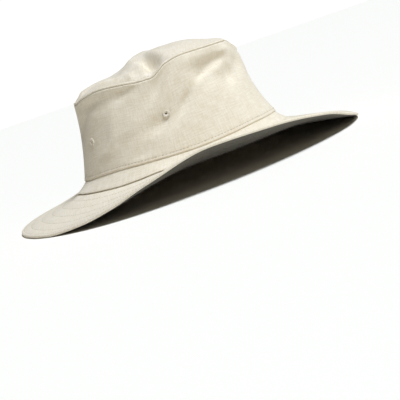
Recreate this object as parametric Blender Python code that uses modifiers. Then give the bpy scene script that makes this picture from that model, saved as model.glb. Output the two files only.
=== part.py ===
# A cricket hat of cotton drill, resting on its brim.
# Metres, +Z up, +X to the front of the hat, +Y to its left.
# The origin is on the floor, under the middle of the brim.

import math
from collections import namedtuple

import bpy
import bmesh
from mathutils import Matrix, Vector

# Crown, measured over the outside of the cloth
CROWN_BASE_LENGTH = 0.202
CROWN_BASE_WIDTH = 0.168
TIP_LENGTH = 0.170
TIP_WIDTH = 0.140
WALL_HEIGHT = 0.080
WALL_HOLLOW = 0.005
TIP_RISE = 0.0205
CROWN_FORWARD = 0.002

# Band between the crown and the brim
BAND_HEIGHT = 0.0105
BAND_FLARE_ENDS = 0.0094
BAND_FLARE_SIDES = 0.0084

# Brim, whose depths are measured in plan from the lower edge of the band
BRIM_FRONT_DEPTH = 0.0675
BRIM_SIDE_DEPTH = 0.0676
BRIM_BACK_DEPTH = 0.0635
BRIM_SEAM_HEIGHT = 0.0210
BRIM_EDGE_LIFT = 0.034

# Cloth thicknesses, and the air between two layers that touch
WALL_CLOTH = 0.0014
TIP_CLOTH = 0.0014
BAND_CLOTH = 0.0013
BRIM_TOP_CLOTH = 0.0011
BRIM_UNDER_CLOTH = 0.0010
LAYER_GAP = 0.0003
SEAM_LAP = 0.005

# Embroidered eyelets
EYELET_RADIUS = 0.0038
EYELET_HOLE_RADIUS = 0.0012
EYELET_THREAD = 0.0008
EYELET_WELD = 0.00005

# Facets round each oval, down the wall, down the band, across the brim and round an eyelet,
# and the rings of the tip as shares of the way from its middle to its seam
SECTIONS = 60
WALL_BANDS = 8
BAND_BANDS = 3
BRIM_BANDS = 6
EYELET_STEPS = 16
TIP_RINGS = (0.14, 0.28, 0.42, 0.56, 0.70, 0.82, 0.91, 0.97)

# Step in angle and in share of height over which the slopes of a surface are measured
SLOPE_STEP = 0.01

# Colours of the cloths and the thread, in linear light, and how rough they are
WALL_COLOUR = (0.80, 0.74, 0.62)
TIP_COLOUR = (0.84, 0.79, 0.69)
BAND_COLOUR = (0.84, 0.79, 0.68)
BRIM_TOP_COLOUR = (0.80, 0.76, 0.67)
BRIM_UNDER_COLOUR = (0.030, 0.036, 0.030)
THREAD_COLOUR = (0.86, 0.79, 0.68)
CLOTH_ROUGHNESS = 0.9

# Stations round the crown, by angle from the front towards the left side.
# seam is the height of the tip seam as a share of WALL_HEIGHT,
# hollow is how far the wall is drawn in half way up, as a share of WALL_HOLLOW.
CrownRow = namedtuple("CrownRow", "angle seam hollow")
CROWN_ROWS = (
    CrownRow(0, 0.855, 1.00),
    CrownRow(18, 0.900, 0.95),
    CrownRow(38, 0.985, 0.75),
    CrownRow(62, 1.005, 0.45),
    CrownRow(84, 0.970, 0.40),
    CrownRow(104, 0.940, 0.40),
    CrownRow(128, 0.935, 0.45),
    CrownRow(152, 0.895, 0.50),
    CrownRow(180, 0.865, 0.50),
    CrownRow(197, 0.866, 0.50),
    CrownRow(212, 0.902, 0.45),
    CrownRow(232, 0.938, 0.40),
    CrownRow(250, 0.910, 0.35),
    CrownRow(260, 0.884, 0.35),
    CrownRow(268, 0.879, 0.35),
    CrownRow(280, 0.985, 0.40),
    CrownRow(291, 1.017, 0.45),
    CrownRow(312, 1.006, 0.60),
    CrownRow(329, 1.000, 0.85),
    CrownRow(341, 0.915, 0.95),
)

# Stations round the brim, by the same angle.
# seam is the height of the band's lower edge as a share of BRIM_SEAM_HEIGHT,
# band is the height of the band there as a share of BAND_HEIGHT,
# lift is the height of the edge over its lowest point, as a share of BRIM_EDGE_LIFT,
# inner and outer are the slopes of the brim, going outwards, at the band and at the edge.
BrimRow = namedtuple("BrimRow", "angle seam band lift inner outer")
BRIM_ROWS = (
    BrimRow(0, 1.02, 0.92, 0.006, -0.40, -0.20),
    BrimRow(20, 1.02, 1.00, 0.050, -0.36, -0.12),
    BrimRow(40, 1.02, 1.00, 0.125, -0.30, 0.00),
    BrimRow(60, 1.03, 0.95, 0.480, -0.18, 0.20),
    BrimRow(80, 1.05, 0.85, 0.820, -0.06, 0.32),
    BrimRow(95, 1.05, 0.90, 0.800, -0.06, 0.30),
    BrimRow(112, 0.99, 1.00, 0.480, -0.16, 0.16),
    BrimRow(130, 0.94, 1.10, 0.180, -0.30, 0.00),
    BrimRow(150, 0.95, 1.00, 0.010, -0.40, -0.12),
    BrimRow(180, 0.79, 0.96, 0.000, -0.32, -0.15),
    BrimRow(200, 0.94, 0.92, 0.012, -0.40, -0.14),
    BrimRow(220, 0.94, 1.12, 0.016, -0.38, -0.08),
    BrimRow(236, 0.93, 1.24, 0.110, -0.30, 0.00),
    BrimRow(248, 0.98, 1.08, 0.300, -0.22, 0.10),
    BrimRow(260, 1.06, 0.85, 0.590, -0.10, 0.26),
    BrimRow(280, 1.05, 0.76, 0.945, 0.02, 0.34),
    BrimRow(300, 1.03, 0.88, 0.854, 0.02, 0.28),
    BrimRow(320, 1.02, 1.02, 0.600, 0.00, 0.04),
    BrimRow(340, 1.02, 1.02, 0.205, -0.22, -0.14),
)

# Height of the crest of the tip over its seam, from the back end to the front end.
# place is a share of half the tip's length, rise a share of TIP_RISE.
# CREST_ROUNDNESS is the power of the arch across the tip: 2 is a plain arch, more is flatter.
CrestRow = namedtuple("CrestRow", "place rise")
CREST_ROWS = (
    CrestRow(-1.00, 0.00),
    CrestRow(-0.96, 0.20),
    CrestRow(-0.88, 0.40),
    CrestRow(-0.74, 0.41),
    CrestRow(-0.55, 0.44),
    CrestRow(-0.40, 0.60),
    CrestRow(-0.28, 0.84),
    CrestRow(-0.17, 1.10),
    CrestRow(-0.06, 1.15),
    CrestRow(0.06, 0.99),
    CrestRow(0.25, 0.78),
    CrestRow(0.50, 0.61),
    CrestRow(0.75, 0.33),
    CrestRow(0.91, 0.22),
    CrestRow(0.97, 0.18),
    CrestRow(1.00, 0.00),
)
CREST_ROUNDNESS = 2.3

# Soft dents in the wall: angle round the crown, height as a share of the wall's,
# then half length, half width and depth as shares of WALL_HEIGHT, and the tilt of the
# dent's length from level, rising with the angle.
WallDent = namedtuple("WallDent", "angle height length width depth tilt")
WALL_DENTS = (
    WallDent(310, 0.86, 0.30, 0.080, 0.056, 8),
    WallDent(322, 0.68, 0.08, 0.120, 0.040, 0),
    WallDent(272, 0.50, 0.40, 0.160, 0.020, 14),
    WallDent(224, 0.86, 0.22, 0.080, 0.050, -8),
    WallDent(196, 0.66, 0.12, 0.160, 0.032, 0),
    WallDent(0, 0.93, 0.35, 0.080, 0.034, 0),
    WallDent(48, 0.84, 0.28, 0.090, 0.035, -8),
    WallDent(95, 0.50, 0.40, 0.170, 0.020, 10),
    WallDent(140, 0.82, 0.24, 0.090, 0.030, 8),
)

# Soft dents in the tip: place along and across as shares of half its length and width,
# half length, half width and depth as shares of TIP_WIDTH, and the heading of the length.
# TIP_DENT_FADE is the power by which they die out towards the seam.
TipDent = namedtuple("TipDent", "along across length width depth heading")
TIP_DENTS = (
    TipDent(0.00, -0.66, 0.20, 0.055, 0.062, 118),
    TipDent(-0.08, 0.60, 0.18, 0.070, 0.025, 78),
    TipDent(-0.55, -0.35, 0.20, 0.090, 0.018, 20),
)
TIP_DENT_FADE = 6

# Eyelets, by angle round the crown and height as a share of the wall's
Eyelet = namedtuple("Eyelet", "name angle height")
EYELETS = (
    Eyelet("eyelet_left_side", 89, 0.52),
    Eyelet("eyelet_left_back", 146, 0.45),
    Eyelet("eyelet_right_side", 270, 0.52),
    Eyelet("eyelet_right_back", 214, 0.45),
)

# Outside of an eyelet's thread, from the edge of its hole to its rim.
# place is a share of that way, height a share of EYELET_THREAD.
ThreadRow = namedtuple("ThreadRow", "place height")
THREAD_ROWS = (
    ThreadRow(0.00, 0.75),
    ThreadRow(0.40, 1.00),
    ThreadRow(0.85, 0.80),
    ThreadRow(1.00, 0.00),
)

# Sizes that follow from the ones above
BRIM_UNDER_DEPTH = BRIM_TOP_CLOTH + LAYER_GAP
BRIM_THICKNESS = BRIM_UNDER_DEPTH + BRIM_UNDER_CLOTH
WALL_FOOT_HEIGHT = BRIM_SEAM_HEIGHT + BAND_HEIGHT
SEAM_HALF_LENGTH = CROWN_BASE_LENGTH / 2 + BAND_FLARE_ENDS
SEAM_HALF_WIDTH = CROWN_BASE_WIDTH / 2 + BAND_FLARE_SIDES
SEAM_CENTRE = (BRIM_BACK_DEPTH - BRIM_FRONT_DEPTH) / 2
CROWN_CENTRE = SEAM_CENTRE + CROWN_FORWARD
EYELET_BARREL_RADIUS = EYELET_HOLE_RADIUS + EYELET_THREAD
EYELET_CUTTER_LENGTH = EYELET_RADIUS * 3


def limited_slope(before, after):
    """Slope of a smooth curve at a point, from the slopes on both sides, without overshoot."""
    if before * after <= 0:
        return 0.0
    return 2 * before * after / (before + after)


def read_table(rows, column, place, period=0.0):
    """Smooth curve through a column of a table, against the table's first column."""
    places = [row[0] for row in rows]
    values = [getattr(row, column) for row in rows]
    if period:
        place = (place - places[0]) % period + places[0]
        places = [places[-2] - period, places[-1] - period] + places
        places += [places[2] + period, places[3] + period]
        values = values[-2:] + values + values[:2]
    place = min(max(place, places[0]), places[-1])
    slopes = []
    for i in range(len(places) - 1):
        slopes.append((values[i + 1] - values[i]) / (places[i + 1] - places[i]))
    last = len(slopes) - 1
    i = max(k for k in range(len(slopes)) if places[k] <= place)
    start = limited_slope(slopes[max(i - 1, 0)], slopes[i])
    end = limited_slope(slopes[i], slopes[min(i + 1, last)])
    step = places[i + 1] - places[i]
    return hermite(values[i], start * step, values[i + 1], end * step, (place - places[i]) / step)


def hermite(start, start_slope, end, end_slope, share):
    """Cubic from start to end, with a slope at each end taken over the whole step."""
    square = share * share
    cube = square * share
    return (start * (2 * cube - 3 * square + 1) + start_slope * (cube - 2 * square + share)
            + end * (3 * square - 2 * cube) + end_slope * (cube - square))


def mix(first, second, share):
    return first + (second - first) * share


def dent_depth(along, across, dent, size, tilt):
    """How deep a dent is at a point given from its middle, with its length turned by a tilt."""
    turn = math.radians(tilt)
    lengthwise = (along * math.cos(turn) + across * math.sin(turn)) / (dent.length * size)
    crosswise = (across * math.cos(turn) - along * math.sin(turn)) / (dent.width * size)
    return dent.depth * size * math.exp(-lengthwise ** 2 - crosswise ** 2)


def wall_point(angle, share):
    """Outside of the crown's wall, at an angle and a share of its height."""
    degrees = math.degrees(angle)
    seam = WALL_HEIGHT * read_table(CROWN_ROWS, "seam", degrees, 360)
    hollow = WALL_HOLLOW * read_table(CROWN_ROWS, "hollow", degrees, 360)
    half_length = mix(CROWN_BASE_LENGTH, TIP_LENGTH, share) / 2
    half_width = mix(CROWN_BASE_WIDTH, TIP_WIDTH, share) / 2
    outward = Vector((half_width * math.cos(angle), half_length * math.sin(angle), 0)).normalized()
    inset = hollow * 4 * share * (1 - share)
    for dent in WALL_DENTS:
        turn = (degrees - dent.angle + 180) % 360 - 180
        along = math.radians(turn) * (half_length + half_width) / 2
        across = (share - dent.height) * WALL_HEIGHT
        inset += dent_depth(along, across, dent, WALL_HEIGHT, dent.tilt)
    foot = BRIM_SEAM_HEIGHT * read_table(BRIM_ROWS, "seam", degrees, 360)
    foot += BAND_HEIGHT * read_table(BRIM_ROWS, "band", degrees, 360)
    place = Vector((CROWN_CENTRE + half_length * math.cos(angle), half_width * math.sin(angle),
                    mix(foot, WALL_FOOT_HEIGHT + seam, share)))
    return place - outward * inset


def wall_normal(angle, share):
    """Outward normal of the crown's wall."""
    round_wall = wall_point(angle + SLOPE_STEP, share) - wall_point(angle - SLOPE_STEP, share)
    up_wall = wall_point(angle, share + SLOPE_STEP) - wall_point(angle, share - SLOPE_STEP)
    return round_wall.cross(up_wall).normalized()


def inside_wall(angle, share):
    """Where the outer face of a layer lies that is tucked inside the wall."""
    return wall_point(angle, share) - wall_normal(angle, share) * (WALL_CLOTH + LAYER_GAP)


def band_point(angle, share):
    """Outside of the band, from its fold under the wall down to its lower edge."""
    top = inside_wall(angle, 0)
    top.z -= LAYER_GAP
    height = BRIM_SEAM_HEIGHT * read_table(BRIM_ROWS, "seam", math.degrees(angle), 360)
    foot = Vector((SEAM_CENTRE + SEAM_HALF_LENGTH * math.cos(angle),
                   SEAM_HALF_WIDTH * math.sin(angle), height))
    return top.lerp(foot, share)


def inside_band(angle, drop):
    """Where the outer face of the brim lies under the band, a drop above the band's lower edge."""
    top = band_point(angle, 0)
    foot = band_point(angle, 1)
    slope = (top - foot).normalized()
    round_band = band_point(angle + SLOPE_STEP, 1) - band_point(angle - SLOPE_STEP, 1)
    outward = round_band.cross(slope).normalized()
    return foot + slope * drop - outward * (BAND_CLOTH + LAYER_GAP)


def brim_point(angle, share):
    """Upper face of the brim, from the band to the edge."""
    degrees = math.degrees(angle)
    start = inside_band(angle, 0)
    depth = mix(BRIM_BACK_DEPTH, BRIM_FRONT_DEPTH, (1 + math.cos(angle)) / 2)
    half_length = SEAM_HALF_LENGTH + depth
    half_width = SEAM_HALF_WIDTH + BRIM_SIDE_DEPTH
    lift = BRIM_EDGE_LIFT * read_table(BRIM_ROWS, "lift", degrees, 360)
    end = Vector((SEAM_CENTRE + half_length * math.cos(angle), half_width * math.sin(angle),
                  BRIM_THICKNESS + lift))
    place = start.lerp(end, share)
    run = (end - start).xy.length
    inner = read_table(BRIM_ROWS, "inner", degrees, 360)
    outer = read_table(BRIM_ROWS, "outer", degrees, 360)
    place.z = hermite(start.z, inner * run, end.z, outer * run, share)
    return place


def tip_point(angle, share):
    """Outside of the tip, at a share of the way from its middle to its seam."""
    along = share * math.cos(angle)
    across = share * math.sin(angle)
    reach = math.sqrt(max(1 - along * along, 0.0))
    seam = inside_wall(angle, 1)
    place = Vector((mix(CROWN_CENTRE, seam.x, share), seam.y * share, seam.z))
    if share == 1:
        return place
    slant = math.acos(along)
    left = inside_wall(slant, 1).z
    right = inside_wall(-slant, 1).z
    cross_share = across / reach
    crest = TIP_RISE * read_table(CREST_ROWS, "rise", along)
    place.z = mix(right, left, (1 + cross_share) / 2)
    place.z += crest * (1 - abs(cross_share) ** CREST_ROUNDNESS)
    for dent in TIP_DENTS:
        dent_x = (along - dent.along) * TIP_LENGTH / 2
        dent_y = (across - dent.across) * TIP_WIDTH / 2
        place.z -= dent_depth(dent_x, dent_y, dent, TIP_WIDTH, dent.heading) * (1 - share ** TIP_DENT_FADE)
    return place


def section_angles():
    return [2 * math.pi * i / SECTIONS for i in range(SECTIONS)]


def wall_shares():
    """Shares of the wall's height at its rings, from the top, with one ring at each seam lap."""
    lap = SEAM_LAP / WALL_HEIGHT
    between = [mix(1 - lap, lap, i / (WALL_BANDS - 2)) for i in range(WALL_BANDS - 1)]
    return [1.0] + between + [0.0]


def loft(name, rings, middle=None):
    """Open surface through rings of points, given from the top of its outside down or inwards out."""
    surface = bmesh.new()
    loops = [[surface.verts.new(point) for point in ring] for ring in rings]
    if middle is not None:
        pole = surface.verts.new(middle)
        for i in range(SECTIONS):
            surface.faces.new((pole, loops[0][i], loops[0][(i + 1) % SECTIONS]))
    for upper, lower in zip(loops, loops[1:]):
        for i in range(SECTIONS):
            j = (i + 1) % SECTIONS
            surface.faces.new((upper[i], lower[i], lower[j], upper[j]))
    mesh = bpy.data.meshes.new(name)
    surface.to_mesh(mesh)
    surface.free()
    mesh.shade_smooth()
    return mesh


def make_material(name, colour):
    """Principled material of a cloth or thread, from its colour in linear light."""
    material = bpy.data.materials.new(name)
    material.use_nodes = True
    shader = material.node_tree.nodes["Principled BSDF"]
    shader.inputs["Base Color"].default_value = (*colour, 1)
    shader.inputs["Roughness"].default_value = CLOTH_ROUGHNESS
    shader.inputs["Metallic"].default_value = 0
    return material


def add_object(collection, name, mesh, material):
    piece = bpy.data.objects.new(name, mesh)
    collection.objects.link(piece)
    mesh.materials.append(material)
    return piece


def add_cloth(piece, thickness, depth=0.0):
    """Give an open surface its thickness, going inwards from a depth below the surface."""
    solidify = piece.modifiers.new("cloth", "SOLIDIFY")
    solidify.thickness = thickness
    solidify.offset = -(1 + 2 * depth / thickness)
    solidify.use_even_offset = True
    solidify.use_rim = True


def make_crown_wall(collection, cutters):
    material = make_material("crown_wall_drill", WALL_COLOUR)
    rings = [[wall_point(angle, share) for angle in section_angles()] for share in wall_shares()]
    piece = add_object(collection, "crown_wall", loft("crown_wall", rings), material)
    add_cloth(piece, WALL_CLOTH)
    for eyelet in EYELETS:
        cutter = make_eyelet_cutter(cutters, eyelet)
        cut = piece.modifiers.new(eyelet.name, "BOOLEAN")
        cut.operation = "DIFFERENCE"
        cut.solver = "EXACT"
        cut.object = cutter


def make_crown_tip(collection):
    material = make_material("crown_tip_drill", TIP_COLOUR)
    rings = [[tip_point(angle, share) for angle in section_angles()] for share in TIP_RINGS]
    rings.append([inside_wall(angle, 1) for angle in section_angles()])
    rings.append([inside_wall(angle, wall_shares()[1]) for angle in section_angles()])
    piece = add_object(collection, "crown_tip", loft("crown_tip", rings, tip_point(0, 0)), material)
    add_cloth(piece, TIP_CLOTH)


def make_hat_band(collection):
    material = make_material("hat_band_drill", BAND_COLOUR)
    rings = [[inside_wall(angle, wall_shares()[-2]) for angle in section_angles()]]
    for i in range(BAND_BANDS + 1):
        rings.append([band_point(angle, i / BAND_BANDS) for angle in section_angles()])
    piece = add_object(collection, "hat_band", loft("hat_band", rings), material)
    add_cloth(piece, BAND_CLOTH)


def make_brim_layer(collection, name, material, thickness, depth):
    """One layer of the brim, tucked under the band and running out to the edge."""
    rings = [[inside_band(angle, SEAM_LAP) for angle in section_angles()]]
    for i in range(BRIM_BANDS + 1):
        rings.append([brim_point(angle, i / BRIM_BANDS) for angle in section_angles()])
    piece = add_object(collection, name, loft(name, rings), material)
    add_cloth(piece, thickness, depth)


def eyelet_frame(eyelet):
    """Where an eyelet sits: its middle on the outside of the wall, its Z axis outwards."""
    angle = math.radians(eyelet.angle)
    turn = wall_normal(angle, eyelet.height).to_track_quat("Z", "Y")
    return Matrix.Translation(wall_point(angle, eyelet.height)) @ turn.to_matrix().to_4x4()


def make_eyelet_cutter(cutters, eyelet):
    """Plain rod that pierces the wall for an eyelet's barrel, with clearance."""
    bpy.ops.mesh.primitive_cylinder_add(
        vertices=EYELET_STEPS, radius=EYELET_BARREL_RADIUS + LAYER_GAP,
        depth=EYELET_CUTTER_LENGTH)
    cutter = bpy.context.object
    cutter.name = eyelet.name + "_cutter"
    cutter.matrix_world = eyelet_frame(eyelet)
    cutter.hide_render = True
    cutter.display_type = "WIRE"
    for owner in list(cutter.users_collection):
        owner.objects.unlink(cutter)
    cutters.objects.link(cutter)
    return cutter


def make_eyelet(collection, eyelet, material):
    """Embroidered ring on the wall, with a thread barrel through it."""
    back = -(WALL_CLOTH + LAYER_GAP)
    points = [(mix(EYELET_HOLE_RADIUS, EYELET_RADIUS, row.place), 0,
               LAYER_GAP + EYELET_THREAD * row.height) for row in THREAD_ROWS]
    points.append((EYELET_BARREL_RADIUS, 0, LAYER_GAP))
    points.append((EYELET_BARREL_RADIUS, 0, back))
    points.append((EYELET_HOLE_RADIUS, 0, back))
    mesh = bpy.data.meshes.new(eyelet.name)
    edges = [(i, (i + 1) % len(points)) for i in range(len(points))]
    mesh.from_pydata(points, edges, [])
    ring = add_object(collection, eyelet.name, mesh, material)
    turn = ring.modifiers.new("turn", "SCREW")
    turn.axis = "Z"
    turn.angle = 2 * math.pi
    turn.steps = EYELET_STEPS
    turn.render_steps = EYELET_STEPS
    turn.merge_threshold = EYELET_WELD
    ring.matrix_world = eyelet_frame(eyelet)


def main():
    for old in list(bpy.data.objects):
        bpy.data.objects.remove(old, do_unlink=True)
    hat = bpy.data.collections.new("cricket_hat")
    cutters = bpy.data.collections.new("cutters")
    bpy.context.scene.collection.children.link(hat)
    bpy.context.scene.collection.children.link(cutters)
    make_crown_tip(hat)
    make_crown_wall(hat, cutters)
    make_hat_band(hat)
    cream = make_material("brim_top_drill", BRIM_TOP_COLOUR)
    dark = make_material("brim_under_cotton", BRIM_UNDER_COLOUR)
    make_brim_layer(hat, "brim_top", cream, BRIM_TOP_CLOTH, 0.0)
    make_brim_layer(hat, "brim_under", dark, BRIM_UNDER_CLOTH, BRIM_UNDER_DEPTH)
    thread = make_material("eyelet_thread", THREAD_COLOUR)
    for eyelet in EYELETS:
        make_eyelet(hat, eyelet, thread)


main()
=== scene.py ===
# A cricket hat of cotton drill with its cloth, seams, stitches and eyelets, at rest on its brim.
import math
from collections import namedtuple

import bmesh
import bpy
import numpy as np
from bpy.props import FloatProperty, FloatVectorProperty, PointerProperty
from mathutils import Matrix, Vector


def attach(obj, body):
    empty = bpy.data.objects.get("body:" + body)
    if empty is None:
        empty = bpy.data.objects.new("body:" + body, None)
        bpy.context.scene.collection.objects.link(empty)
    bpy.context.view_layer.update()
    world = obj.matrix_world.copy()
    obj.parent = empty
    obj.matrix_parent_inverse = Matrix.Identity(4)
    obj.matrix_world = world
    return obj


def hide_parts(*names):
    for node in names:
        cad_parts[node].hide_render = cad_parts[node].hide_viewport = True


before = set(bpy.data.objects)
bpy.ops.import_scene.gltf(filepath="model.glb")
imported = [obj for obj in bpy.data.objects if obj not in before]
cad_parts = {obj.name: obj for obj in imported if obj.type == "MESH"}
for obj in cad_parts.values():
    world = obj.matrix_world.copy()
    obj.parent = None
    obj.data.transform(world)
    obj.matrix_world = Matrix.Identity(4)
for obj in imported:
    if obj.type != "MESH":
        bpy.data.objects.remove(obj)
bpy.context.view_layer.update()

bl_info = {
    "name": "Cricket hat",
    "version": (1, 0, 0),
    "blender": (4, 5, 0),
    "location": "View3D > Sidebar > Hat",
    "description": "Builds the cloth, seams, stitches and eyelets of a cricket hat",
    "category": "Add Mesh",
}


def table(columns, *rows):
    """Rows of values under the names of their columns."""
    row = namedtuple("Row", columns)
    return tuple(row(*values) for values in rows)


# Columns of facets round the hat, and the widest spacing of their rows, also on the brim
COLUMNS = 576
ROW_SPACING = 0.0014
BRIM_ROW_SPACING = 0.0022

# Stations round the crown, by angle from the front towards the left side.
# seam is the height of the tip seam as a share of the wall's height,
# hollow is how far the wall is drawn in half way up, as a share of the wall's hollow.
CROWN_ROWS = table(
    "angle seam hollow",
    (0, 0.855, 1.00), (18, 0.900, 0.95), (38, 0.985, 0.75), (62, 1.005, 0.45),
    (84, 0.970, 0.40), (104, 0.940, 0.40), (128, 0.935, 0.45), (152, 0.895, 0.50),
    (180, 0.865, 0.50), (197, 0.866, 0.50), (212, 0.902, 0.45), (232, 0.938, 0.40),
    (250, 0.910, 0.35), (260, 0.884, 0.35), (268, 0.879, 0.35), (280, 0.985, 0.40),
    (291, 1.017, 0.45), (312, 1.006, 0.60), (329, 1.000, 0.85), (341, 0.915, 0.95),
)

# Stations round the brim, by the same angle.
# seam is the height of the band's lower edge as a share of the brim seam's height,
# band is the height of the band there as a share of the band's height,
# lift is the height of the edge over its lowest point, as a share of the edge's lift,
# inner and outer are the slopes of the brim, going outwards, at the band and at the edge.
BRIM_ROWS = table(
    "angle seam band lift inner outer",
    (0, 1.02, 0.92, 0.006, -0.40, -0.20), (20, 1.02, 1.00, 0.050, -0.36, -0.12),
    (40, 1.02, 1.00, 0.125, -0.30, 0.00), (60, 1.03, 0.95, 0.480, -0.18, 0.20),
    (80, 1.05, 0.85, 0.820, -0.06, 0.32), (95, 1.05, 0.90, 0.800, -0.06, 0.30),
    (112, 0.99, 1.00, 0.480, -0.16, 0.16), (130, 0.94, 1.10, 0.180, -0.30, 0.00),
    (150, 0.95, 1.00, 0.010, -0.40, -0.12), (180, 0.79, 0.96, 0.000, -0.32, -0.15),
    (200, 0.94, 0.92, 0.012, -0.40, -0.14), (220, 0.94, 1.12, 0.016, -0.38, -0.08),
    (236, 0.93, 1.24, 0.134, -0.30, 0.00), (248, 0.98, 1.08, 0.347, -0.22, 0.10),
    (260, 1.06, 0.85, 0.667, -0.10, 0.26), (280, 1.05, 0.76, 1.040, 0.02, 0.34),
    (300, 1.03, 0.88, 0.946, 0.02, 0.28), (320, 1.02, 1.02, 0.665, 0.00, 0.04),
    (340, 1.02, 1.02, 0.235, -0.22, -0.14),
)

# Height of the crest of the tip over its seam, from the back end to the front end.
# place is a share of half the tip's length, rise a share of the tip's rise.
# CREST_ROUNDNESS is the power of the arch across the tip: 2 is a plain arch, more is flatter.
CREST_ROWS = table(
    "place rise",
    (-1.00, 0.00), (-0.96, 0.20), (-0.88, 0.40), (-0.74, 0.41), (-0.55, 0.44), (-0.40, 0.60),
    (-0.28, 0.84), (-0.17, 1.10), (-0.06, 1.15), (0.06, 0.99), (0.25, 0.78), (0.50, 0.61),
    (0.75, 0.33), (0.91, 0.22), (0.97, 0.18), (1.00, 0.00),
)
CREST_ROUNDNESS = 2.3

# Soft dents in the wall: angle round the crown, height as a share of the wall's,
# then half length, half width and depth as shares of the wall's height, and the turn of the
# dent's length from level, rising with the angle. A negative depth stands out.
WALL_DENT = "angle height length width depth turn"
WALL_DENTS = table(
    WALL_DENT,
    (310, 0.86, 0.30, 0.080, 0.056, 8), (322, 0.68, 0.08, 0.120, 0.040, 0),
    (272, 0.50, 0.40, 0.160, 0.020, 14), (224, 0.86, 0.22, 0.080, 0.050, -8),
    (196, 0.66, 0.12, 0.160, 0.032, 0), (0, 0.93, 0.35, 0.080, 0.034, 0),
    (48, 0.84, 0.28, 0.090, 0.035, -8), (95, 0.50, 0.40, 0.170, 0.020, 10),
    (140, 0.82, 0.24, 0.090, 0.030, 8),
)

# Soft dents in the tip: place along and across as shares of half its length and width,
# half length, half width and depth as shares of the tip's width, and the turn of the length.
# TIP_DENT_FADE is the power by which they die out towards the seam.
TIP_DENT = "along across length width depth turn"
TIP_DENTS = table(
    TIP_DENT,
    (0.00, -0.66, 0.20, 0.055, 0.062, 118), (-0.08, 0.60, 0.18, 0.070, 0.025, 78),
    (-0.55, -0.35, 0.20, 0.090, 0.018, 20),
)
TIP_DENT_FADE = 6

# Eyelets, by angle round the crown and height as a share of the wall's
EYELETS = table(
    "name angle height",
    ("eyelet_left_side", 89, 0.52), ("eyelet_left_back", 146, 0.45),
    ("eyelet_right_side", 270, 0.52), ("eyelet_right_back", 214, 0.45),
)

# Steps over which slopes are measured: in angle or share of height, and in metres
SLOPE_STEP = 0.01
BRIM_SLOPE_STEP = 0.0002
TIP_SLOPE_STEP = 0.0005

# Rows of stitches in the brim, by their distance from its edge, and on the wall and the tip,
# by their distance from the folded edge that they hold down; and how far beside a row of
# stitches the next facets lie
BRIM_STITCH_ROWS = (0.0036, 0.0110, 0.0225, 0.0340, 0.0455, 0.0570)
WALL_STITCH_ROW = 0.0034
TIP_STITCH_ROW = 0.0052
BESIDE_STITCHES = 0.001
BESIDE_BRIM_STITCHES = 0.0009

# One stitch, its pitch to the next one, and how many faces it has round and along
STITCH_LENGTH = 0.0026
STITCH_PITCH = 0.0034
STITCH_WIDTH = 0.00050
STITCH_SIDES = 6
STITCH_RINGS = 4

# Small soft folds that the wall has besides its main dents, written as those are
SOFT_FOLDS = table(
    WALL_DENT,
    (264, 0.41, 0.193, 0.085, 0.036, 24), (334, 0.71, 0.166, 0.090, 0.033, 49),
    (247, 0.90, 0.198, 0.082, 0.030, 13), (270, 0.87, 0.199, 0.083, 0.026, 39),
    (281, 0.49, 0.192, 0.058, 0.035, 35), (252, 0.15, 0.200, 0.090, 0.022, 38),
    (317, 0.55, 0.179, 0.088, 0.025, 22), (249, 0.48, 0.200, 0.089, -0.020, 29),
    (292, 0.87, 0.198, 0.088, -0.020, 44), (303, 0.76, 0.185, 0.064, 0.028, 13),
    (230, 0.25, 0.200, 0.090, -0.019, 11), (236, 0.53, 0.196, 0.090, -0.018, 73),
    (318, 0.61, 0.150, 0.075, 0.026, 1), (324, 0.91, 0.194, 0.072, -0.038, -2),
    (313, 0.81, 0.193, 0.046, 0.026, 7), (300, 0.62, 0.163, 0.070, 0.023, 45),
    (307, 0.89, 0.184, 0.072, -0.019, 0), (238, 0.40, 0.200, 0.090, -0.013, 10),
    (246, 0.59, 0.200, 0.089, -0.013, 15), (226, 0.85, 0.200, 0.057, -0.020, -8),
    (298, 0.75, 0.100, 0.066, 0.028, 28), (301, 0.75, 0.159, 0.046, 0.016, 24),
    (310, 0.66, 0.190, 0.075, 0.022, 13), (338, 0.80, 0.100, 0.070, 0.014, 40),
    (206, 0.72, 0.120, 0.120, 0.018, 0), (212, 0.78, 0.114, 0.083, 0.013, 9),
    (353, 0.91, 0.200, 0.070, -0.026, 0), (2, 0.76, 0.220, 0.110, -0.009, 0),
    (20, 0.55, 0.120, 0.180, 0.020, 0), (44, 0.42, 0.160, 0.060, 0.018, -18),
    (70, 0.62, 0.150, 0.060, 0.022, -24), (86, 0.28, 0.180, 0.060, 0.016, 12),
    (112, 0.66, 0.160, 0.065, 0.020, 28), (124, 0.36, 0.140, 0.060, 0.018, 14),
    (165, 0.45, 0.080, 0.180, 0.016, 0),
)
# How near the seams at its foot and its top those folds die out, as shares of its height
FOLDS_FOOT_MARGIN = 0.12
FOLDS_TOP_MARGIN = 0.06

# Small soft creases that the tip has besides its dents, written as those are
TIP_CREASES = table(
    TIP_DENT,
    (-0.95, -0.35, 0.141, 0.041, 0.030, 20), (0.07, -0.50, 0.179, 0.032, -0.016, 105),
    (-0.44, -0.79, 0.190, 0.016, 0.030, 155), (0.21, -0.82, 0.163, 0.048, -0.011, 110),
    (-0.04, -0.58, 0.193, 0.028, 0.015, 93), (-0.44, -0.68, 0.220, 0.016, -0.016, 161),
    (-0.07, -0.18, 0.073, 0.056, 0.013, 137), (-0.11, -0.69, 0.113, 0.026, -0.016, 100),
    (-0.23, -0.89, 0.083, 0.023, -0.016, 113), (-0.24, -0.14, 0.052, 0.035, -0.015, 106),
    (-0.56, -0.62, 0.063, 0.021, -0.016, 158), (0.30, 0.35, 0.160, 0.050, 0.010, 70),
    (-0.40, 0.50, 0.180, 0.040, 0.012, 150),
)
TIP_CREASE_FADE = 12


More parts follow.
